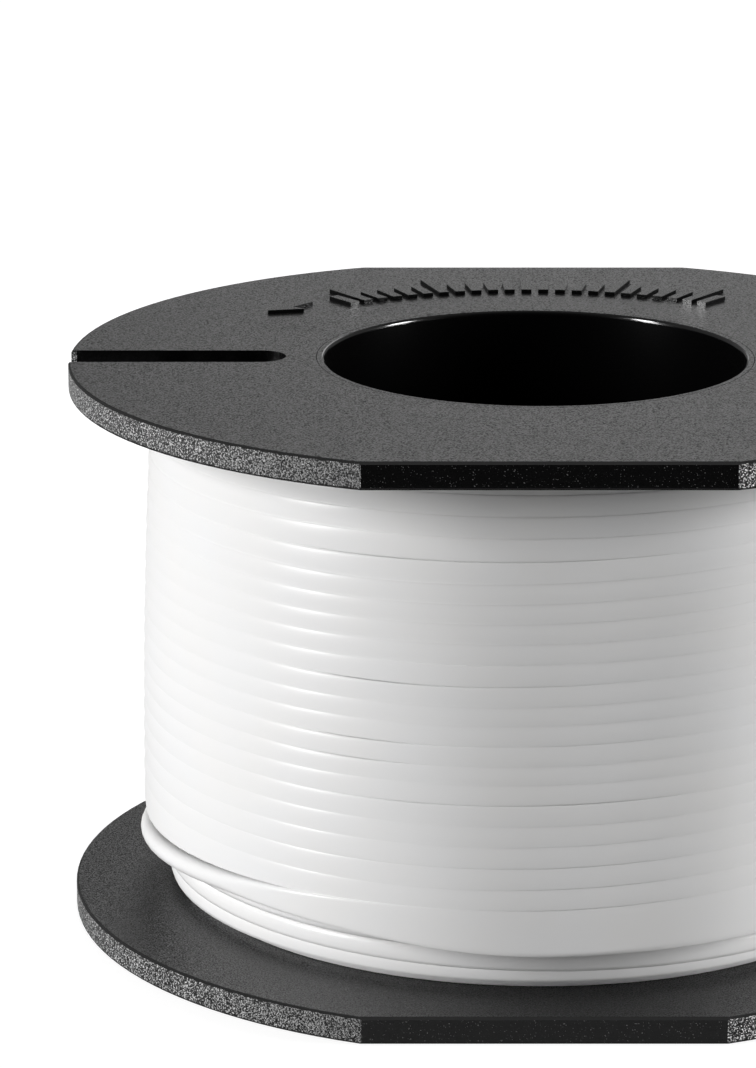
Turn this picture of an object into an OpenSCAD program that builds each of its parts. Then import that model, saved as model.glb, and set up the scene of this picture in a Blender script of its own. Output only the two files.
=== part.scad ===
// A small bulk spool of monofilament line: two flanges snapped on a barrel, and the line wound between.
// Millimetres, +Z up along the barrel, origin at the centre of the lower flange's underside.

/* [Flanges] */
// Diameter of each flange
flange_d = 70; // [68:0.5:80]
// Distance between the two parallel flats of a flange
across_flats = 65; // [63:0.5:67]
// Thickness of each flange
flange_t = 2.05; // [1.85:0.05:2.4]
// Width of the line slot, which is open at the rim
slot_w = 3.9; // [3:0.1:4.5]
// Distance from the axis to the closed end of the slot
slot_tip_r = 18.7; // [18.5:0.1:22]

/* [Barrel] */
// Overall height of the spool, without the raised marks
spool_h = 42.6; // [40:0.1:48]
// Diameter of the bore
bore_d = 31.6; // [30:0.1:32]
// Wall of the barrel between the flanges
barrel_wall = 2; // [1.6:0.1:2.2]

/* [Line] */
// Diameter of the line
line_d = 1.5; // [1.5:0.01:1.55]
// Turns in the outer layer, before the loose last turn
outer_turns = 21; // [12:1:21]
// Largest diameter over the winding
winding_d = 59.4; // [56:0.1:60]
// How far the winding draws in under the upper flange, on the radius
winding_crown = 0.9; // [0:0.1:1.2]

/* [Raised marks] */
// Height of the marks above the upper flange
mark_h = 0.3; // [0.2:0.05:0.5]
// Number of ticks in the scale
tick_count = 23; // [11:2:27]
// Angle from one tick to the next
tick_step = 3.4; // [2.8:0.1:3.4]

/* [Hidden] */

plastic_color = [0.10, 0.10, 0.105];
line_color = [0.93, 0.93, 0.92];
eps = 0.01;

// Flange and barrel
flange_r = flange_d / 2;
rim_round = 0.2;
bore_r = bore_d / 2;
barrel_r = bore_r + barrel_wall;
spigot_wall = 0.6;
spigot_r = bore_r + spigot_wall;
lip_round = 0.3;
snap_h = 0.2;
snap_half_top = 0.1;
snap_half_foot = 0.4;
fit_gap = 0.05;
key_w = 4;
key_h = 0.8;
key_inner_r = (spigot_r + barrel_r) / 2 - 0.25;

// Winding
lower_face_z = flange_t;
upper_face_z = spool_h - flange_t;
turn_pitch = 1.01 * line_d;
turn_gap = 0.43;
tube_d = turn_pitch - turn_gap;
tube_r = tube_d / 2;
tube_sides = 6;
steps_per_turn = 24;
chord_sag = winding_d / 2 * (1 - cos(180 / steps_per_turn));
start_angle = -60;
flange_gap = 0.1;
first_turn_z = upper_face_z - tube_r - flange_gap;
crown_at = 0.68;
core_gap = 0.06;

// Loose last turn, which leaves the winding at the front and lies on the lower flange at the back
leave_turn = outer_turns + (start_angle + 90) / 360;
dive_turns = 0.55;
spread_turns = 0.3;
rest_z = lower_face_z + tube_r + core_gap;
loose_r = winding_d / 2 - 0.4;
slot_turn = outer_turns + 1 + start_angle / 360;
last_step = slot_turn * steps_per_turn - 1;

// End of the line, which dips into the lower flange's slot and stops at its wall
wall_gap = 0.02;
dip_from_y = slot_w / 2 + 0.35;
dip_to_y = -slot_w / 2 + tube_d + wall_gap;
dip_z = flange_t / 2 + fit_gap;
dip_steps = 6;

// Scale and arrow
mark_mid_angle = 90;
mark_inner_r = 22.4;
tick_w = 0.8;
tick_len = 2.8;
long_tick_len = 5;
arrow_angle = 139;
arrow_r = 25;
arrow_len = 4.6;
arrow_w = 3.4;

function smooth(s) = let (c = min(max(s, 0), 1)) c * c * (3 - 2 * c);
function blend(a, b, s) = a + (b - a) * s;
function unit(v) = v / norm(v);

// Radius over the winding at a height, fullest below the middle
function winding_r(z) =
    let (u = (upper_face_z - z) / (upper_face_z - lower_face_z))
    winding_d / 2 - winding_crown * pow((u - crown_at) / crown_at, 2);

// Height, radius and angle of the outer layer after a number of turns, clockwise and down
function turn_z(t) =
    blend(first_turn_z - turn_pitch * min(t, leave_turn), rest_z, smooth((t - leave_turn) / dive_turns));
function turn_r(t) =
    blend(winding_r(turn_z(t)) - tube_r, loose_r, smooth((t - leave_turn) / spread_turns));
function turn_angle(t) = start_angle - 360 * t;
function turn_point(t) = [turn_r(t) * cos(turn_angle(t)), turn_r(t) * sin(turn_angle(t)), turn_z(t)];

// Point of the line's end at a distance across the slot
function end_point(y) = [
    sqrt(loose_r * loose_r - pow(max(y, 0), 2)),
    y,
    blend(rest_z, dip_z, smooth((dip_from_y - y) / (dip_from_y - dip_to_y)))
];

line_path = concat(
    [turn_point(0) + tube_d * [-sin(start_angle), cos(start_angle), 0]],
    [for (i = [0 : last_step]) turn_point(i / steps_per_turn)],
    [for (i = [0 : dip_steps]) end_point(blend(dip_from_y, dip_to_y, i / dip_steps))],
    [[loose_r, dip_to_y - tube_d, dip_z]]
);

// Least distance between the surfaces of the outer layer's turns, over points half a turn or more apart
least_gap = min([for (i = [0 : len(line_path) - 1])
    for (j = [i + steps_per_turn / 2 : min(i + 2 * steps_per_turn, len(line_path) - 1)])
        norm(line_path[i] - line_path[j])]) - tube_d;
echo(least_gap_of_outer_turns = least_gap);

function path_direction(p, i) = unit(p[min(i + 1, len(p) - 1)] - p[max(i - 1, 0)]);
function ring(p, i) =
    let (along = path_direction(p, i))
    let (away = unit([p[i].x, i < last_step ? p[i].y : 0, 0]))
    let (out = unit(away - along * (away * along)))
    let (side = cross(along, out))
    [for (k = [0 : tube_sides - 1])
        p[i] + tube_r * (cos(360 * k / tube_sides) * out + sin(360 * k / tube_sides) * side)];

// One closed tube along a path, in triangles
module tube(p) {
    last = len(p) - 1;
    n = tube_sides;
    sides = [for (i = [0 : last - 1], k = [0 : n - 1], half = [0, 1])
        let (a = i * n + k)
        let (b = i * n + (k + 1) % n)
        half == 0 ? [a, b + n, b] : [a, a + n, b + n]];
    start_cap = [for (k = [1 : n - 2]) [0, k, k + 1]];
    end_cap = [for (k = [1 : n - 2]) [last * n, last * n + k + 1, last * n + k]];
    polyhedron(points = [for (i = [0 : last]) each ring(p, i)], faces = concat(sides, start_cap, end_cap));
}

// Rounded lip at the bore's mouth, and the snap bead on the spigot at half the flange's thickness
function lip_arc() = [for (a = [180 : -15 : 90])
    [bore_r + lip_round + lip_round * cos(a), spool_h / 2 - lip_round + lip_round * sin(a)]];
function snap_bead(r, grow) =
    let (mid = (spool_h - flange_t) / 2)
    [
        [r, mid + snap_half_foot + grow],
        [r + snap_h, mid + snap_half_top + grow],
        [r + snap_h, mid - snap_half_top - grow],
        [r, mid - snap_half_foot - grow]
    ];

module half_barrel() {
    rotate_extrude($fn = 96)
        polygon(concat(
            [[barrel_r, 0], [bore_r, 0]],
            lip_arc(),
            [[spigot_r, spool_h / 2]],
            snap_bead(spigot_r, 0),
            [[spigot_r, spool_h / 2 - flange_t], [barrel_r, spool_h / 2 - flange_t]]
        ));
    for (side = [-1, 1])
        translate([0, 0, spool_h / 2 - flange_t - eps])
            key(side, 0);
}

// Key that stops a flange turning on the barrel
module key(side, grow) {
    intersection() {
        difference() {
            cylinder(r = barrel_r + grow, h = key_h + grow, $fn = 96);
            translate([0, 0, -1])
                cylinder(r = key_inner_r - grow, h = key_h + grow + 2, $fn = 96);
        }
        translate([-key_w / 2 - grow, side > 0 ? 0 : -flange_r, -1])
            cube([key_w + 2 * grow, flange_r, key_h + grow + 2]);
    }
}

module barrel() {
    color(plastic_color)
        translate([0, 0, spool_h / 2])
            union() {
                half_barrel();
                rotate([0, 180, 0])
                    half_barrel();
            }
}

// Disc with rounded rim edges, cut by the two flats
module flange_blank() {
    edge_arc = [for (a = [0 : 15 : 90]) rim_round * [cos(a), sin(a)]];
    flat_y = across_flats / 2;
    intersection() {
        rotate_extrude($fn = 180)
            polygon(concat(
                [[0, 0]],
                [for (p = edge_arc) [flange_r - rim_round + p.y, rim_round - p.x]],
                [for (p = edge_arc) [flange_r - rim_round + p.x, flange_t - rim_round + p.y]],
                [[0, flange_t]]
            ));
        rotate([90, 0, 90])
            linear_extrude(height = flange_d + 2, center = true)
                polygon([
                    [-flat_y, rim_round],
                    [-flat_y + rim_round, 0],
                    [flat_y - rim_round, 0],
                    [flat_y, rim_round],
                    [flat_y, flange_t - rim_round],
                    [flat_y - rim_round, flange_t],
                    [-flat_y + rim_round, flange_t],
                    [-flat_y, flange_t - rim_round]
                ]);
    }
}

// Hole for the barrel's spigot, with the groove that its snap bead clicks into
module spigot_hole() {
    translate([0, 0, flange_t - spool_h / 2])
        rotate_extrude($fn = 96)
            polygon(concat(
                [[0, spool_h / 2 + 1], [spigot_r + fit_gap, spool_h / 2 + 1]],
                snap_bead(spigot_r + fit_gap, fit_gap),
                [[spigot_r + fit_gap, spool_h / 2 - flange_t - 1], [0, spool_h / 2 - flange_t - 1]]
            ));
}

module line_slot() {
    tip_x = slot_tip_r + slot_w / 2;
    translate([-tip_x, 0, -1])
        cylinder(d = slot_w, h = flange_t + 2, $fn = 48);
    translate([-flange_r - 1, -slot_w / 2, -1])
        cube([flange_r + 1 - tip_x, slot_w, flange_t + 2]);
}

// A flange with its outer face up and its slot on the -X side
module flange() {
    difference() {
        flange_blank();
        spigot_hole();
        line_slot();
        for (side = [-1, 1])
            translate([0, 0, -eps])
                key(side, fit_gap);
    }
}

// Scale of plain ticks and an arrow for the way the line pays off
module raised_marks() {
    half = (tick_count - 1) / 2;
    for (i = [-half : half])
        rotate([0, 0, mark_mid_angle + i * tick_step])
            translate([mark_inner_r, -tick_w / 2, -0.1])
                cube([i % 5 == 0 ? long_tick_len : tick_len, tick_w, mark_h + 0.1]);
    rotate([0, 0, arrow_angle])
        translate([arrow_r, 0, -0.1])
            linear_extrude(height = mark_h + 0.1)
                polygon([
                    [0, arrow_len / 2],
                    [-arrow_w / 2, 0],
                    [-arrow_w / 6, 0],
                    [-arrow_w / 6, -arrow_len / 2],
                    [arrow_w / 6, -arrow_len / 2],
                    [arrow_w / 6, 0],
                    [arrow_w / 2, 0]
                ]);
}

module upper_flange() {
    color(plastic_color)
        union() {
            translate([0, 0, upper_face_z])
                flange();
            translate([0, 0, spool_h])
                raised_marks();
        }
}

module lower_flange() {
    color(plastic_color)
        translate([0, 0, flange_t])
            rotate([0, 180, 0])
                flange();
}

// Inner layers as a plain core, and the rise where the line comes up into the outer layer
module line_core() {
    low_z = lower_face_z + fit_gap;
    high_z = upper_face_z - fit_gap;
    bulge_steps = 12;
    function core_r(z) = winding_r(z) - tube_d - chord_sag - core_gap;
    rise_r = core_r(first_turn_z);
    rise_shift = turn_r(0) + tube_r - rise_r;
    color(line_color)
        union() {
            rotate_extrude($fn = 120)
                polygon(concat(
                    [[barrel_r + fit_gap, high_z], [barrel_r + fit_gap, low_z], [core_r(low_z) - 1, low_z]],
                    [for (i = [1 : bulge_steps])
                        let (z = blend(low_z, high_z, i / bulge_steps))
                        [core_r(z), z]]
                ));
            rotate([0, 0, start_angle])
                intersection() {
                    difference() {
                        translate([rise_shift, 0, first_turn_z - tube_r])
                            cylinder(r = rise_r, h = tube_d, $fn = 120);
                        translate([0, 0, first_turn_z - tube_d])
                            cylinder(r = rise_r - 1, h = 2 * tube_d, $fn = 120);
                    }
                    translate([0, tube_d, 0])
                        cube([flange_d, flange_d, spool_h]);
                }
        }
}

module line_outer_turns() {
    color(line_color)
        tube(line_path);
}

barrel();
upper_flange();
lower_flange();
line_core();
line_outer_turns();
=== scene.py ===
"""Looks of a line spool: a black moulded spool, wound full of milky white monofilament line."""
import math

import bpy
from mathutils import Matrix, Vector


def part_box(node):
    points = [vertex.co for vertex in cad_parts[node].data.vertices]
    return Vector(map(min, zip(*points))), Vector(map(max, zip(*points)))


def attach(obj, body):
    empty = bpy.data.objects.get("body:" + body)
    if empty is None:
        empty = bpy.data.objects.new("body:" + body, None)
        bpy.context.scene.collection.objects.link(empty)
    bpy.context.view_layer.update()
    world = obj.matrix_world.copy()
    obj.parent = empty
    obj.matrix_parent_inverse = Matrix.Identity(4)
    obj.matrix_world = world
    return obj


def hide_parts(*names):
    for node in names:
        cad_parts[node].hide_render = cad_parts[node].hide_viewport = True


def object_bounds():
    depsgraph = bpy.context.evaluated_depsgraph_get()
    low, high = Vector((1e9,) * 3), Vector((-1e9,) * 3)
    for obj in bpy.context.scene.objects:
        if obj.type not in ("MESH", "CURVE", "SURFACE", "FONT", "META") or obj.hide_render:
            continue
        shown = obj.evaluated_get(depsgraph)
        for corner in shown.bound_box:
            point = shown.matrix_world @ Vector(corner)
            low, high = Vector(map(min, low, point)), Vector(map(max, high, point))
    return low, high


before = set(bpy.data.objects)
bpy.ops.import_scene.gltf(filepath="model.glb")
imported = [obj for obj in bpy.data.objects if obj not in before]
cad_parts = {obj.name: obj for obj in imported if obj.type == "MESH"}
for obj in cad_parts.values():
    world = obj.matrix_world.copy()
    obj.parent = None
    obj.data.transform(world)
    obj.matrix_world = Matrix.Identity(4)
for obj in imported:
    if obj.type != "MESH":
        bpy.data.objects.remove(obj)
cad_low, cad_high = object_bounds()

# Viewpoint: a long lens a little above the upper flange, looking level with the two flats.
# Found by fitting the flange outlines, so that nothing needs a lens shift.
camera_data = bpy.data.cameras.new("viewpoint")
camera_data.sensor_width = 36.0
camera_data.lens = 164.6
camera_data.clip_end = 20.0
camera = bpy.data.objects.new("viewpoint", camera_data)
camera.location = (-0.0118, -0.3575, 0.12457)
camera.rotation_euler = (math.radians(75.0), 0.0, 0.0)
bpy.context.scene.collection.objects.link(camera)
bpy.context.scene.camera = camera
bpy.context.scene.view_settings.view_transform = "Standard"


# Barrel: the tube that the line is wound on, moulded in black plastic like the flanges.
# Its thin ends come up through the flanges, and their smooth rounded lips show round the bore.
# Its mould is spark-eroded on level faces and rims, which leaves a glittering grain. The rest is polished.
# On the flanges' rims and flats part of that glitter is painted glints in the colour.


def add_node(tree, kind, sockets=None, **settings):
    node = tree.nodes.new(kind)
    for name, value in settings.items():
        setattr(node, name, value)
    for name, value in (sockets or {}).items():
        node.inputs[name].default_value = value
    return node


def new_group(name, inputs, outputs):
    tree = bpy.data.node_groups.new(name, "ShaderNodeTree")
    for socket in inputs:
        tree.interface.new_socket(socket, in_out="INPUT", socket_type="NodeSocketFloat")
    for socket in outputs:
        kind = "NodeSocketVector" if socket == "Normal" else "NodeSocketFloat"
        tree.interface.new_socket(socket, in_out="OUTPUT", socket_type=kind)
    return tree, add_node(tree, "NodeGroupInput"), add_node(tree, "NodeGroupOutput")


def make_spark_grain():
    """The grain that a spark-eroded mould leaves: small facets that lean every way, with fine pits. Its pale
    glint and sparkle dots are masks for painted glints, colour that stands in for lit facets. Cover is 1
    where the mould is eroded and 0 where it is polished."""
    tree, given, made = new_group(
        "spark_grain",
        ["Facets per Metre", "Lean", "Cover"],
        ["Normal", "Height", "Painted Glints", "Painted Sparkles", "Patches"],
    )
    place = add_node(tree, "ShaderNodeTexCoord")
    geometry = add_node(tree, "ShaderNodeNewGeometry")
    facets = add_node(tree, "ShaderNodeTexNoise", {"Detail": 1.0, "Roughness": 0.5})
    fines = add_node(tree, "ShaderNodeTexNoise", {"Detail": 1.0, "Roughness": 0.6})
    patches = add_node(tree, "ShaderNodeTexNoise", {"Scale": 260.0, "Detail": 3.0})
    # Painted glints and painted sparkles: pale dots that stand in for facets of the grain catching the
    # light.
    painted_glint_dots = add_node(tree, "ShaderNodeMapRange", {"From Min": 0.54, "From Max": 0.63})
    painted_sparkle_dots = add_node(tree, "ShaderNodeMapRange", {"From Min": 0.69, "From Max": 0.76})
    every_way = add_node(tree, "ShaderNodeVectorMath", operation="SUBTRACT")
    every_way.inputs[1].default_value = (0.5, 0.5, 0.5)
    covered_height = add_node(tree, "ShaderNodeMath", operation="MULTIPLY")
    covered_painted_glints = add_node(tree, "ShaderNodeMath", operation="MULTIPLY")
    leaning = add_node(tree, "ShaderNodeVectorMath", operation="SCALE")
    added = add_node(tree, "ShaderNodeVectorMath", operation="ADD")
    facing = add_node(tree, "ShaderNodeVectorMath", operation="NORMALIZE")
    for texture in (facets, fines, patches):
        tree.links.new(place.outputs["Object"], texture.inputs["Vector"])
    for texture in (facets, fines):
        tree.links.new(given.outputs["Facets per Metre"], texture.inputs["Scale"])
    tree.links.new(fines.outputs["Fac"], painted_glint_dots.inputs["Value"])
    tree.links.new(fines.outputs["Fac"], painted_sparkle_dots.inputs["Value"])
    for value, covered in (
        (fines.outputs["Fac"], covered_height),
        (painted_glint_dots.outputs["Result"], covered_painted_glints),
    ):
        tree.links.new(value, covered.inputs[0])
        tree.links.new(given.outputs["Cover"], covered.inputs[1])
    tree.links.new(facets.outputs["Color"], every_way.inputs[0])
    tree.links.new(every_way.outputs["Vector"], leaning.inputs[0])
    tree.links.new(given.outputs["Lean"], leaning.inputs["Scale"])
    tree.links.new(geometry.outputs["Normal"], added.inputs[0])
    tree.links.new(leaning.outputs["Vector"], added.inputs[1])
    tree.links.new(added.outputs["Vector"], facing.inputs[0])
    tree.links.new(facing.outputs["Vector"], made.inputs["Normal"])
    tree.links.new(covered_height.outputs["Value"], made.inputs["Height"])
    tree.links.new(covered_painted_glints.outputs["Value"], made.inputs["Painted Glints"])
    tree.links.new(painted_sparkle_dots.outputs["Result"], made.inputs["Painted Sparkles"])
    tree.links.new(patches.outputs["Fac"], made.inputs["Patches"])
    return tree


spark_grain = make_spark_grain()


def black_plastic(name, facets_per_metre, pit_depth, polished, grained, black, painted_glint_colour, eroded_faces):
    """Black moulded plastic, polished where it isn't grained. Its rims get painted glints, pale dots in the
    colour that stand in for lit grain, and its flats a few painted sparkles; its outer edges are dull."""
    material = bpy.data.materials.new(name)
    material.use_nodes = True
    tree = material.node_tree
    shader = tree.nodes["Principled BSDF"]
    shader.inputs["Specular IOR Level"].default_value = 0.7
    shader.inputs["IOR"].default_value = 1.57
    eroded = add_node(
        tree, "ShaderNodeGroup",
        {"Face Lean": 1.9, "Rim Lean": 2.8, "Flat Cover": 0.3}, node_tree=eroded_faces,
    )
    grain = add_node(tree, "ShaderNodeGroup", {"Facets per Metre": facets_per_metre}, node_tree=spark_grain)
    relief = add_node(tree, "ShaderNodeBump", {"Strength": 1.0, "Distance": pit_depth})
    dulled = add_node(tree, "ShaderNodeMapRange", {"To Min": grained[0], "To Max": grained[1]})
    polish = add_node(tree, "ShaderNodeMix", {"A": polished})
    worn = add_node(tree, "ShaderNodeMix", {"B": 1.0})
    # Painted glints on the rims and painted sparkles on the flats: pale colour standing in for lit facets.
    rim_painted_glints = add_node(tree, "ShaderNodeMath", operation="MULTIPLY")
    flat_painted_sparkles = add_node(tree, "ShaderNodeMath", operation="MULTIPLY")
    painted_glint_share = add_node(tree, "ShaderNodeMath", operation="MAXIMUM")
    tone = add_node(tree, "ShaderNodeMix", data_type="RGBA")
    tone.inputs["A"].default_value = black
    tone.inputs["B"].default_value = painted_glint_colour
    tree.links.new(eroded.outputs["Cover"], grain.inputs["Cover"])
    tree.links.new(eroded.outputs["Lean"], grain.inputs["Lean"])
    tree.links.new(grain.outputs["Normal"], relief.inputs["Normal"])
    tree.links.new(grain.outputs["Height"], relief.inputs["Height"])
    tree.links.new(relief.outputs["Normal"], shader.inputs["Normal"])
    tree.links.new(grain.outputs["Patches"], dulled.inputs["Value"])
    tree.links.new(dulled.outputs["Result"], polish.inputs["B"])
    tree.links.new(eroded.outputs["Cover"], polish.inputs["Factor"])
    tree.links.new(polish.outputs["Result"], worn.inputs["A"])
    tree.links.new(eroded.outputs["Edges"], worn.inputs["Factor"])
    tree.links.new(worn.outputs["Result"], shader.inputs["Roughness"])
    tree.links.new(grain.outputs["Painted Glints"], rim_painted_glints.inputs[0])
    tree.links.new(eroded.outputs["Rim"], rim_painted_glints.inputs[1])
    tree.links.new(grain.outputs["Painted Sparkles"], flat_painted_sparkles.inputs[0])
    tree.links.new(eroded.outputs["Flats"], flat_painted_sparkles.inputs[1])
    tree.links.new(rim_painted_glints.outputs["Value"], painted_glint_share.inputs[0])
    tree.links.new(flat_painted_sparkles.outputs["Value"], painted_glint_share.inputs[1])
    tree.links.new(painted_glint_share.outputs["Value"], tone.inputs["Factor"])
    tree.links.new(tone.outputs["Result"], shader.inputs["Base Color"])
    return material


rim_from = cad_high.x - 0.0004
flat_from = cad_high.y - 0.0003


def make_eroded_faces():
    """Where the mould is eroded: level faces, a flange's rim and, by the share Flat Cover, its flats. Lean
    is how far the grain's facets lean there. Edges are the rounded edges of the rim and the flats. Rim and
    Flats also place the painted glints and painted sparkles."""
    level_from = 0.99
    upright_to = 0.1
    flat_facing_from = 0.97
    tree, given, made = new_group(
        "eroded_faces",
        ["Face Lean", "Rim Lean", "Flat Cover"],
        ["Cover", "Lean", "Edges", "Rim", "Flats"],
    )
    geometry = add_node(tree, "ShaderNodeNewGeometry")
    place = add_node(tree, "ShaderNodeTexCoord")
    facing = add_node(tree, "ShaderNodeSeparateXYZ")
    parts = add_node(tree, "ShaderNodeSeparateXYZ")
    tree.links.new(geometry.outputs["True Normal"], facing.inputs["Vector"])
    tree.links.new(place.outputs["Object"], parts.inputs["Vector"])

    def math_node(operation, first, second=None):
        node = add_node(tree, "ShaderNodeMath", operation=operation)
        for socket, value in zip(node.inputs, (first, second)):
            if isinstance(value, float):
                socket.default_value = value
            elif value:
                tree.links.new(value, socket)
        return node.outputs["Value"]

    upright = math_node("ABSOLUTE", facing.outputs["Z"])
    level_faces = math_node("GREATER_THAN", upright, level_from)
    upright_faces = math_node("LESS_THAN", upright, upright_to)
    x_square = math_node("POWER", parts.outputs["X"], 2.0)
    y_square = math_node("POWER", parts.outputs["Y"], 2.0)
    from_axis = math_node("SQRT", math_node("ADD", x_square, y_square))
    on_rim = math_node("GREATER_THAN", from_axis, rim_from)
    on_flat = math_node("GREATER_THAN", math_node("ABSOLUTE", parts.outputs["Y"]), flat_from)
    sideways = math_node("ABSOLUTE", facing.outputs["Y"])
    faces_flat = math_node("GREATER_THAN", sideways, flat_facing_from)
    flat_walls = math_node("MULTIPLY", math_node("MULTIPLY", upright_faces, on_flat), faces_flat)
    flat_faces = math_node("MULTIPLY", flat_walls, given.outputs["Flat Cover"])
    rim_walls = math_node("SUBTRACT", math_node("MULTIPLY", upright_faces, on_rim), flat_walls)
    rim_faces = math_node("MAXIMUM", rim_walls, 0.0)
    tilted_faces = math_node("SUBTRACT", 1.0, math_node("ADD", level_faces, upright_faces))
    outer_edges = math_node("MULTIPLY", tilted_faces, math_node("MAXIMUM", on_rim, on_flat))
    tree.links.new(outer_edges, made.inputs["Edges"])
    tree.links.new(rim_faces, made.inputs["Rim"])
    tree.links.new(flat_faces, made.inputs["Flats"])
    plain_faces = math_node("MAXIMUM", level_faces, flat_faces)
    face_lean = math_node("MULTIPLY", plain_faces, given.outputs["Face Lean"])
    rim_lean = math_node("MULTIPLY", rim_faces, given.outputs["Rim Lean"])
    tree.links.new(math_node("MAXIMUM", plain_faces, rim_faces), made.inputs["Cover"])
    tree.links.new(math_node("MAXIMUM", face_lean, rim_lean), made.inputs["Lean"])
    return tree


# Its pale glint colour is painted light: glints on the flanges' rims and sparkles on their flats.
spool_black = black_plastic(
    "spool_black",
    facets_per_metre=8500.0,
    pit_depth=0.00002,
    polished=0.15,
    grained=(0.32, 0.38),
    black=(0.0015, 0.0015, 0.0016, 1.0),
    painted_glint_colour=(0.8, 0.8, 0.8, 1.0),
    eroded_faces=make_eroded_faces(),
)
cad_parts["barrel"].data.materials.clear()
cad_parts["barrel"].data.materials.append(spool_black)


# Flanges: two like discs with parallel flats and a line slot, snapped on the barrel's ends.
# Their faces and rims are grained, and the slot's walls and the sides of the raised marks are smooth.
# Their rims and flats carry painted glints: pale dots in the colour that stand in for lit grain.
for name in ("upper_flange", "lower_flange"):
    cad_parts[name].data.materials.clear()
    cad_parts[name].data.materials.append(spool_black)


# Inner layers of the line: one unbroken length of milky white nylon, wound in tight layers.
# Only its end turns show in the flange slots, and a few low turns where the outer layer stops short.
line_d = 0.0015
line_r = line_d / 2
layer_step = 0.00127
barrel_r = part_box("barrel")[1].x
lower_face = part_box("lower_flange")[1].z
upper_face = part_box("upper_flange")[0].z
clear_gap = 0.00003
fullest_r = 0.0297
crown = 0.0009
crown_at = 0.74
flat_back = 0.1


def smooth(share):
    held = min(max(share, 0.0), 1.0)
    return held * held * (3.0 - 2.0 * held)


def blend(first, second, share):
    return first + (second - first) * share


def winding_r(z):
    """Radius over the wound line at a height, fullest below the middle."""
    down = (upper_face - z) / (upper_face - lower_face)
    return fullest_r - crown * ((down - crown_at) / crown_at) ** 2


def round_point(radius, angle, z):
    return Vector((radius * math.cos(angle), radius * math.sin(angle), z))


def tube_along(route, pressed, above, below, radius, side_steps):
    """Points and faces of a tube along a route about the spool's axis, with its ends cut square.
    Its section is round where pressed is 0. Where it is 1, the section fills the room above and below it,
    with a slightly crowned face outwards and its back flattened on the layer beneath."""
    cut_round = 0.00012
    cut_share = 0.8
    squareness = 36.0
    face_crown = 0.11
    walk = [i / side_steps - 1.0 for i in range(2 * side_steps)]
    ways = [(1.0, a) for a in walk]
    ways += [(-a, 1.0) for a in walk]
    ways += [(-1.0, -a) for a in walk]
    ways += [(a, -1.0) for a in walk]
    sides = len(ways)
    points = []
    faces = []
    last = len(route) - 1
    stations = [(0, -cut_round, cut_share)]
    stations += [(i, 0.0, 1.0) for i in range(last + 1)]
    stations += [(last, cut_round, cut_share)]
    for i, past, share in stations:
        along = (route[min(i + 1, last)] - route[max(i - 1, 0)]).normalized()
        away = Vector((route[i].x, route[i].y, 0.0)).normalized()
        out = (away - along * away.dot(along)).normalized()
        side = along.cross(out)
        middle = route[i] + along * past
        power = blend(2.0, squareness, pressed[i])
        for across, up in ways:
            stretch = (abs(across) ** power + abs(up) ** power) ** (-1.0 / power)
            across *= stretch
            up *= stretch
            if across > 0.0:
                across *= 1.0 - pressed[i] * face_crown * up ** 2
            else:
                across *= blend(1.0, flat_back, pressed[i])
            reach = blend(radius, above[i] if up > 0.0 else below[i], pressed[i])
            points.append(middle + (out * (across * radius) + side * (up * reach)) * share)
    for i in range(len(stations) - 1):
        for k in range(sides):
            a = i * sides + k
            b = i * sides + (k + 1) % sides
            faces.append((a, b, b + sides, a + sides))
    foot = (len(stations) - 1) * sides
    faces.append(tuple(reversed(range(sides))))
    faces.append(tuple(range(foot, foot + sides)))
    return points, faces


def lathed(profile, steps):
    """Points and faces of a closed profile of radii and heights, turned about the spool's axis."""
    count = len(profile)
    points = [
        round_point(r, 2.0 * math.pi * i / steps, z) for i in range(steps) for r, z in profile
    ]
    faces = []
    for i in range(steps):
        for k in range(count):
            a = i * count + k
            b = i * count + (k + 1) % count
            next_row = count if i < steps - 1 else -i * count
            faces.append((a, a + next_row, b + next_row, b))
    return points, faces


def mesh_object(name, solids):
    points = []
    faces = []
    for more_points, more_faces in solids:
        faces.extend(tuple(len(points) + p for p in face) for face in more_faces)
        points.extend(more_points)
    mesh = bpy.data.meshes.new(name)
    mesh.from_pydata(points, [], faces)
    for polygon in mesh.polygons:
        polygon.use_smooth = len(polygon.vertices) == 4
    piece = bpy.data.objects.new(name, mesh)
    bpy.context.scene.collection.objects.link(piece)
    return piece


inner_count = 8
inner_start = 90.0
inner_start_step = 37.0
few_turns = 0.6
shown_low_turns = 4.4
tuck = 0.0006
tuck_from = 0.008
tuck_over = 0.005
inner_pressed = 0.1


def layer_r(layer, z):
    """Radius to the middle of the line in an inner layer, which draws in towards the lower flange."""
    return winding_r(z) - line_r - layer * layer_step - tuck * smooth((tuck_from - z) / tuck_over)


def end_turns(layer, first_z, step_z, turns, first_angle):
    """One turn of an inner layer against a flange, coming up out of the layer beneath, and some more."""
    steps = 96
    come_up_steps = 16
    heights = [first_z + step_z * max(i / steps - 1.0, 0.0) for i in range(int(turns * steps) + steps + 1)]
    sunk = [layer_step * (1.0 - smooth(i / come_up_steps)) for i in range(len(heights))]
    return [
        round_point(layer_r(layer, z) - sunk[i], first_angle - 2.0 * math.pi * i / steps, z)
        for i, z in enumerate(heights)
    ]


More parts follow.
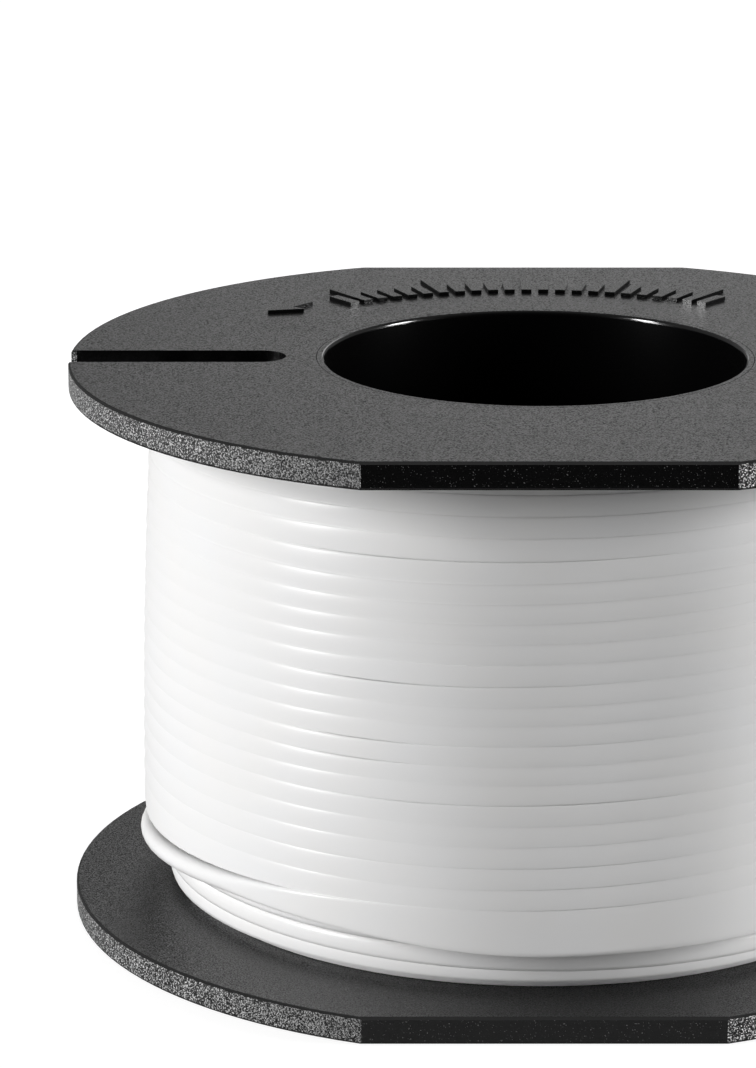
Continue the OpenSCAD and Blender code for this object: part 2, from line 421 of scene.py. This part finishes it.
inner_solids = []
for layer in range(1, inner_count + 1):
    lift = line_r if layer % 2 else 0.0
    first_angle = math.radians(inner_start + inner_start_step * layer)
    low_turns = shown_low_turns if layer == 1 else few_turns
    for first_z, step_z, turns in (
        (upper_face - line_r - lift, -line_d, few_turns),
        (lower_face + line_r + lift, line_d, low_turns),
    ):
        route = end_turns(layer, first_z, step_z, turns, first_angle)
        room = [line_r] * len(route)
        squeeze = [inner_pressed] * len(route)
        inner_solids.append(tube_along(route, squeeze, room, room, line_r, side_steps=2))
core_low = lower_face + line_d
core_high = upper_face - line_d
core_r = barrel_r + 0.0001
core_steps = 24
under_outer = line_r * (1.0 + flat_back) + clear_gap
core_profile = [(core_r, core_high), (core_r, core_low)]
for i in range(core_steps + 1):
    z = blend(core_low, core_high, i / core_steps)
    filled = smooth((z - tuck_from) / line_d)
    core_profile.append((blend(layer_r(1, z), winding_r(z) - under_outer, filled), z))
inner_solids.append(lathed(core_profile, steps=180))
inner_layers = mesh_object("inner_layers", inner_solids)


def make_clouded_normal():
    """Light that wanders through cloudy line from turn to turn evens out the shading between them. Share,
    times each point's own clouded value, is how far the normal leans to point out of the winding."""
    tree, given, made = new_group("clouded_normal", ["Share"], ["Normal"])
    place = add_node(tree, "ShaderNodeTexCoord")
    level = add_node(tree, "ShaderNodeVectorMath", operation="MULTIPLY")
    level.inputs[1].default_value = (1.0, 1.0, 0.0)
    straight_out = add_node(tree, "ShaderNodeVectorMath", operation="NORMALIZE")
    turned = add_node(
        tree, "ShaderNodeVectorTransform",
        vector_type="NORMAL", convert_from="OBJECT", convert_to="WORLD",
    )
    geometry = add_node(tree, "ShaderNodeNewGeometry")
    clouded = add_node(tree, "ShaderNodeAttribute", attribute_name="clouded")
    share = add_node(tree, "ShaderNodeMath", operation="MULTIPLY")
    mixed = add_node(tree, "ShaderNodeMix", data_type="VECTOR")
    even = add_node(tree, "ShaderNodeVectorMath", operation="NORMALIZE")
    tree.links.new(place.outputs["Object"], level.inputs[0])
    tree.links.new(level.outputs["Vector"], straight_out.inputs[0])
    tree.links.new(straight_out.outputs["Vector"], turned.inputs["Vector"])
    tree.links.new(given.outputs["Share"], share.inputs[0])
    tree.links.new(clouded.outputs["Fac"], share.inputs[1])
    tree.links.new(share.outputs["Value"], mixed.inputs["Factor"])
    tree.links.new(geometry.outputs["Normal"], mixed.inputs["A"])
    tree.links.new(turned.outputs["Vector"], mixed.inputs["B"])
    tree.links.new(mixed.outputs["Result"], even.inputs[0])
    tree.links.new(even.outputs["Vector"], made.inputs["Normal"])
    return tree


def milky_nylon():
    """Drawn nylon line: cloudy white with a soft gloss, a little warmer or cooler in patches."""
    material = bpy.data.materials.new("milky_nylon")
    material.use_nodes = True
    tree = material.node_tree
    shader = tree.nodes["Principled BSDF"]
    shader.inputs["Specular IOR Level"].default_value = 0.0
    shader.inputs["Coat Weight"].default_value = 0.6
    shader.inputs["Coat Roughness"].default_value = 0.3
    shader.inputs["Coat IOR"].default_value = 1.53
    place = add_node(tree, "ShaderNodeTexCoord")
    clouds = add_node(tree, "ShaderNodeTexNoise", {"Scale": 160.0, "Detail": 4.0})
    tone = add_node(tree, "ShaderNodeMix", data_type="RGBA")
    tone.inputs["A"].default_value = (0.94, 0.93, 0.915, 1.0)
    tone.inputs["B"].default_value = (0.93, 0.935, 0.945, 1.0)
    polish = add_node(tree, "ShaderNodeMapRange", {"To Min": 0.26, "To Max": 0.28})
    tree.links.new(place.outputs["Object"], clouds.inputs["Vector"])
    tree.links.new(clouds.outputs["Fac"], tone.inputs["Factor"])
    tree.links.new(tone.outputs["Result"], shader.inputs["Base Color"])
    tree.links.new(clouds.outputs["Fac"], polish.inputs["Value"])
    tree.links.new(polish.outputs["Result"], shader.inputs["Roughness"])
    clouded = add_node(tree, "ShaderNodeGroup", {"Share": 1.0}, node_tree=make_clouded_normal())
    tree.links.new(clouded.outputs["Normal"], shader.inputs["Normal"])
    return material


nylon = milky_nylon()
inner_layers.data.materials.append(nylon)
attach(inner_layers, "root")
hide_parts("line_core")


# Outer layer of the line: some twenty-one turns laid side by side, pushed into loose bands.
# The last turn hangs free, lies on the lower flange at the back and ends in that flange's slot.
start_angle = math.radians(-60.0)
rise_turns = 0.25
# Bands of the outer layer from the top down: the turns in each and their pitch.
bands = [(3.7, 0.00154), (2.6, 0.001455), (4, 0.00148), (3, 0.00145), (3, 0.00143), (6, 0.001578)]
hair = 0.000005
pressed_in = 0.000075
squeezed = 0.00045
first_turn_z = upper_face - 0.00042
jog_at = 8.0 / 360.0
jog_half = 0.15
jog_share = 0.85
jog_after = 6.0
outer_count = 21
leave_turn = outer_count + 30.0 / 360.0
dive_turns = 0.55
spread_turns = 0.3
rest_z = lower_face + line_r + clear_gap
loose_r = 0.0293
slot_turn = outer_count + 300.0 / 360.0
steps_per_turn = 92
# Creases between turns: turns above, gap, looseness, ledge, and the angle and spread of each in degrees.
creases = [
    (1, 0.0, 0.00005, 0.0, 270.0, 60.0),
    (2, 0.0, 0.00007, 0.00005, 258.0, 40.0),
    (3, 0.0, 0.000066, 0.00005, 258.0, 35.0),
    (4, 0.00026, 0.00005, 0.00003, 244.0, 20.0),
    (4, 0.00013, 0.00005, 0.00006, 266.0, 60.0),
    (8, 0.00017, 0.000015, 0.0, 300.0, 26.0),
    (9, 0.00014, 0.00005, 0.00001, 258.0, 16.0),
    (10, 0.00021, 0.0, 0.0, 266.0, 60.0),
    (10, 0.0, 0.00005, 0.00004, 260.0, 20.0),
    (10, 0.0, 0.00008, 0.00002, 243.0, 12.0),
    (13, 0.00021, 0.000035, 0.0, 266.0, 55.0),
    (13, 0.0, 0.00007, 0.0, 243.0, 12.0),
    (14, 0.0, 0.0001, 0.00003, 242.0, 12.0),
    (16, 0.00023, 0.000055, 0.000003, 270.0, 30.0),
    (16, 0.0, 0.00005, 0.0, 248.0, 10.0),
    (19, 0.00008, 0.00003, 0.0, 246.0, 40.0),
]
gap_column = 1
ledge_column = 3
crease_fade = 0.65
fatten_turns = 0.15
fully_loose = 0.00006
face_clouded = 0.68
edge_clouded = 0.9
edge_from = 0.5
edge_over = 0.4


def turn_angle(t):
    return start_angle - 2.0 * math.pi * t


def jogged(t):
    """Turns run nearly level and step down by a pitch at the front right, more so below the top few."""
    past_jog = t - jog_at
    whole = math.floor(past_jog + 0.5)
    stepped = whole - 0.5 + smooth((past_jog - whole) / (2.0 * jog_half) + 0.5)
    return t + jog_share * smooth(t / jog_after) * (stepped - past_jog)


def banded_drop(t):
    drop = 0.0
    for turns, pitch in bands:
        held = min(max(t, 0.0), turns)
        drop += held * pitch
        t -= turns
    return drop


def near_angle(angle, middle, spread):
    off = (angle - middle + 180.0) % 360.0 - 180.0
    return math.exp(-((off / spread) ** 2))


def turns_passed(t):
    """Turns above a point, counted where they pass the back of the spool."""
    turns_from_back = 150.0 / 360.0
    return math.floor(t + turns_from_back)


def pushed(t, column):
    """How far a point is pushed by the creases between bands of turns: up or down by their gaps, or out over
    the turns below and in under those above by their ledges."""
    passed = turns_passed(t)
    angle = math.degrees(turn_angle(t)) % 360.0
    push = 0.0
    for crease in creases:
        below, _, _, _, middle, spread = crease
        opened = 0.5 * crease[column] * near_angle(angle, middle, spread)
        if passed < below:
            push += opened * crease_fade ** (below - 1 - passed)
        else:
            push -= opened * crease_fade ** (passed - below)
    return push


def loosened(t, boundary):
    """How much less than elsewhere a turn is pressed into the next one at a crease."""
    angle = math.degrees(turn_angle(t)) % 360.0
    return sum(
        loose * near_angle(angle, middle, spread)
        for below, _, loose, _, middle, spread in creases if below == boundary
    )


def pressed_at(t):
    """1 where the line is pressed between its neighbours, and 0 where it comes up or hangs free."""
    return smooth(t / rise_turns + 1.0) * (1.0 - smooth((t - leave_turn) / fatten_turns))


def turn_z(t):
    drop = banded_drop(jogged(min(max(t, 0.0), leave_turn)))
    wound = first_turn_z - drop + pushed(t, gap_column) * smooth(t)
    highest = upper_face - hair - blend(line_r, squeezed, pressed_at(t))
    return blend(min(wound, highest), rest_z, smooth((t - leave_turn) / dive_turns))


def turn_r(t):
    z = turn_z(t)
    wound = winding_r(z) - line_r + pushed(t, ledge_column)
    risen = wound - layer_step * smooth(-t / rise_turns)
    return blend(risen, loose_r, smooth((t - leave_turn) / spread_turns))


def room_to(t, turns):
    """Half the way to the turn above or below and a little into it, or all the way to the flange."""
    z = turn_z(t)
    if t + turns < 0.0:
        return upper_face - z - hair
    boundary = turns_passed(t) + (1 if turns > 0.0 else 0)
    return abs(turn_z(t + turns) - z) / 2.0 + pressed_in - loosened(t, boundary)


slot_half = 0.00195
dip_from = slot_half + 0.00035
dip_to = -slot_half + line_d + 0.00002
dip_z = 0.001075
dip_steps = 8
end_back = 0.00015
steps_before_slot = 4
rise_steps = int(rise_turns * steps_per_turn)
outer_route = [
    round_point(turn_r(i / steps_per_turn), turn_angle(i / steps_per_turn), turn_z(i / steps_per_turn))
    for i in range(-rise_steps, int(slot_turn * steps_per_turn) - steps_before_slot)
]
for i in range(dip_steps + 1):
    across = blend(dip_from, dip_to, i / dip_steps)
    along = math.sqrt(loose_r ** 2 - max(across, 0.0) ** 2)
    outer_route.append(Vector((along, across, blend(rest_z, dip_z, smooth(i / dip_steps)))))
outer_route.append(Vector((loose_r, dip_to - line_d + end_back, dip_z)))
turns_at = [(i - rise_steps) / steps_per_turn for i in range(len(outer_route))]
outer_pressed = [pressed_at(t) for t in turns_at]
room_above = [room_to(t, -1.0) for t in turns_at]
room_below = [room_to(t, 1.0) for t in turns_at]
outer_tube = tube_along(outer_route, outer_pressed, room_above, room_below, line_r, side_steps=6)
outer_turns = mesh_object("outer_turns", [outer_tube])
ring = len(outer_turns.data.vertices) // (len(outer_route) + 2)
clouded_values = outer_turns.data.attributes.new("clouded", "FLOAT", "POINT").data
for i, t in enumerate(turns_at):
    touching = [1.0 - min(loosened(t, turns_passed(t) + k) / fully_loose, 1.0) for k in (1, 0)]
    for k in range((i + 1) * ring, (i + 2) * ring):
        up = outer_turns.data.vertices[k].co.z - outer_route[i].z
        reach = room_above[i] if up > 0.0 else room_below[i]
        edge = smooth((abs(up) / reach - edge_from) / edge_over) * touching[1 if up > 0.0 else 0]
        clouded_values[k].value = outer_pressed[i] * blend(face_clouded, edge_clouded, edge)
outer_turns.data.materials.append(nylon)
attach(outer_turns, "root")
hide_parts("line_outer_turns")


# Floor: a plain studio table that the spool stands on, lit white where the camera looks at it.
# It still takes the spool's shadow. Its colour is dark in front and pale behind, painted shade of a floor
# lit from behind, which throws less light up at the spool. Glossy rays see it glow faintly behind the
# spool, as a painted reflection.
floor_half = 3.0
floor_z = -0.00004
# Share of the white glow that glossy rays see behind the spool: a painted reflection.
painted_reflection_share = 0.14
floor_mesh = bpy.data.meshes.new("studio_floor")
floor_mesh.from_pydata(
    [(x * floor_half, y * floor_half, floor_z) for x, y in ((-1, -1), (1, -1), (1, 1), (-1, 1))],
    [], [(0, 1, 2, 3)],
)
floor = bpy.data.objects.new("studio_floor", floor_mesh)
bpy.context.scene.collection.objects.link(floor)
floor_white = bpy.data.materials.new("floor_white")
floor_white.use_nodes = True
floor_tree = floor_white.node_tree
floor_shader = floor_tree.nodes["Principled BSDF"]
floor_shader.inputs["Roughness"].default_value = 0.9
floor_shader.inputs["Specular IOR Level"].default_value = 0.0
floor_shader.inputs["Emission Color"].default_value = (0.86, 0.86, 0.86, 1.0)
seen = add_node(floor_tree, "ShaderNodeLightPath")
painted_reflection = add_node(floor_tree, "ShaderNodeMath", operation="MULTIPLY")
dimmed = add_node(floor_tree, "ShaderNodeMath", operation="MULTIPLY")
dimmed.inputs[1].default_value = painted_reflection_share
lit_white = add_node(floor_tree, "ShaderNodeMath", operation="MAXIMUM")
floor_tree.links.new(seen.outputs["Is Glossy Ray"], painted_reflection.inputs[0])
floor_tree.links.new(seen.outputs["Is Camera Ray"], lit_white.inputs[0])
floor_tree.links.new(dimmed.outputs["Value"], lit_white.inputs[1])
floor_tree.links.new(lit_white.outputs["Value"], floor_shader.inputs["Emission Strength"])
floor_place = add_node(floor_tree, "ShaderNodeTexCoord")
floor_parts = add_node(floor_tree, "ShaderNodeSeparateXYZ")
# Painted shade: 0 in front of the spool and 1 behind it, darkening the floor's colour and glow in front.
painted_back_light = add_node(
    floor_tree, "ShaderNodeMapRange",
    {"From Min": -0.15, "From Max": 0.1}, interpolation_type="SMOOTHSTEP",
)
painted_floor_shade = add_node(floor_tree, "ShaderNodeMix", data_type="RGBA")
painted_floor_shade.inputs["A"].default_value = (0.045, 0.045, 0.045, 1.0)
painted_floor_shade.inputs["B"].default_value = (0.55, 0.55, 0.55, 1.0)
floor_tree.links.new(floor_place.outputs["Object"], floor_parts.inputs["Vector"])
floor_tree.links.new(floor_parts.outputs["Y"], painted_back_light.inputs["Value"])
floor_tree.links.new(painted_back_light.outputs["Result"], painted_floor_shade.inputs["Factor"])
floor_tree.links.new(painted_back_light.outputs["Result"], painted_reflection.inputs[1])
floor_tree.links.new(painted_reflection.outputs["Value"], dimmed.inputs[0])
floor_tree.links.new(painted_floor_shade.outputs["Result"], floor_shader.inputs["Base Color"])
floor_mesh.materials.append(floor_white)


# Studio light: two tall soft boxes, one to the left and in front of the spool and one to its right.
# A wide one behind gives the upper flange its sheen, and a weak surround fills in the back.
def soft_box(name, place, aim, width, height, brightness):
    data = bpy.data.lights.new(name, "AREA")
    data.shape = "RECTANGLE"
    data.size = width
    data.size_y = height
    data.energy = brightness * math.pi * width * height
    lamp = bpy.data.objects.new(name, data)
    lamp.location = place
    lamp.rotation_euler = (Vector(aim) - Vector(place)).to_track_quat("-Z", "Y").to_euler()
    lamp.visible_camera = False
    bpy.context.scene.collection.objects.link(lamp)


spool_middle = (0.0, 0.0, 0.02)
soft_box("left_box", (-0.93, -0.367, 0.28), spool_middle, width=0.2, height=0.6, brightness=28.2)
soft_box("right_box", (0.991, -0.131, 0.25), spool_middle, width=0.25, height=0.5, brightness=25.0)
soft_box("back_box", (0.105, 1.195, 0.45), spool_middle, width=0.5, height=0.4, brightness=1.15)
world = bpy.data.worlds.new("studio_surround")
world.use_nodes = True
world_tree = world.node_tree
surround = world_tree.nodes["Background"]
surround.inputs["Color"].default_value = (1.0, 1.0, 1.0, 1.0)
way = add_node(world_tree, "ShaderNodeTexCoord")
parts = add_node(world_tree, "ShaderNodeSeparateXYZ")
dark_front = add_node(
    world_tree, "ShaderNodeMapRange",
    {"From Min": -0.9, "From Max": 0.3, "To Min": 0.01, "To Max": 0.17}, interpolation_type="SMOOTHSTEP",
)
world_tree.links.new(way.outputs["Generated"], parts.inputs["Vector"])
world_tree.links.new(parts.outputs["Y"], dark_front.inputs["Value"])
world_tree.links.new(dark_front.outputs["Result"], surround.inputs["Strength"])
bpy.context.scene.world = world
